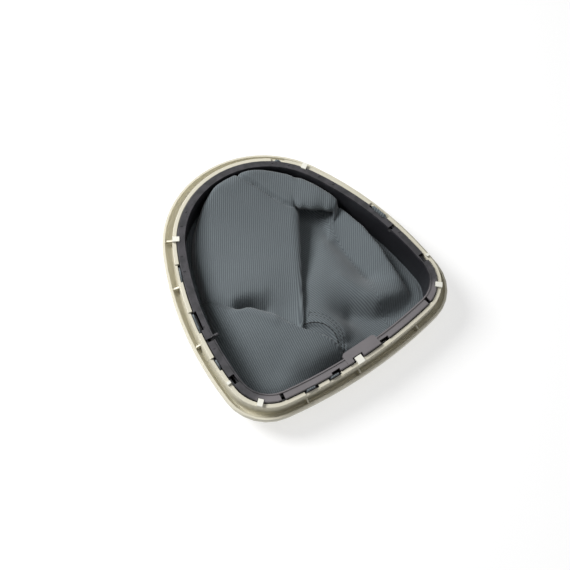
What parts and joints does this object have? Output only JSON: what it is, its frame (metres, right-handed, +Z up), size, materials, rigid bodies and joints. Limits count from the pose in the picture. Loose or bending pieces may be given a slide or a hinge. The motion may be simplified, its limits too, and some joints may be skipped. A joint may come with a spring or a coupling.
{
  "type": "gear lever gaiter",
  "caption": "Sewn gear lever gaiter clamped in a clip-in retaining frame and a rounded D-shaped trim bezel, lying face down with its backing and folds in view.",
  "frame": {"origin": "in plan the middle of the trim bezel, in height the crown of the bezel, which lies on the table", "axes": "+Z up, out of the underside that faces the viewer; +Y from the straight base edge to the round apex; +X to the right with the apex away from the viewer"},
  "size_m": [0.1772, 0.1872, 0.0307],
  "materials": {
    "trim_plastic": "ivory moulded plastic, satin, with a fine moulded texture on its inner side",
    "frame_plastic": "near-black moulded plastic, satin, lighter where it is rubbed",
    "gaiter_cloth": "grey ribbed knit backing on black leatherette, sewn and collapsed in folds"
  },
  "bodies": {
    "root": {"trim_bezel": "trim_plastic", "retaining_frame": "frame_plastic", "gaiter": "gaiter_cloth"}
  },
  "joints": []
}
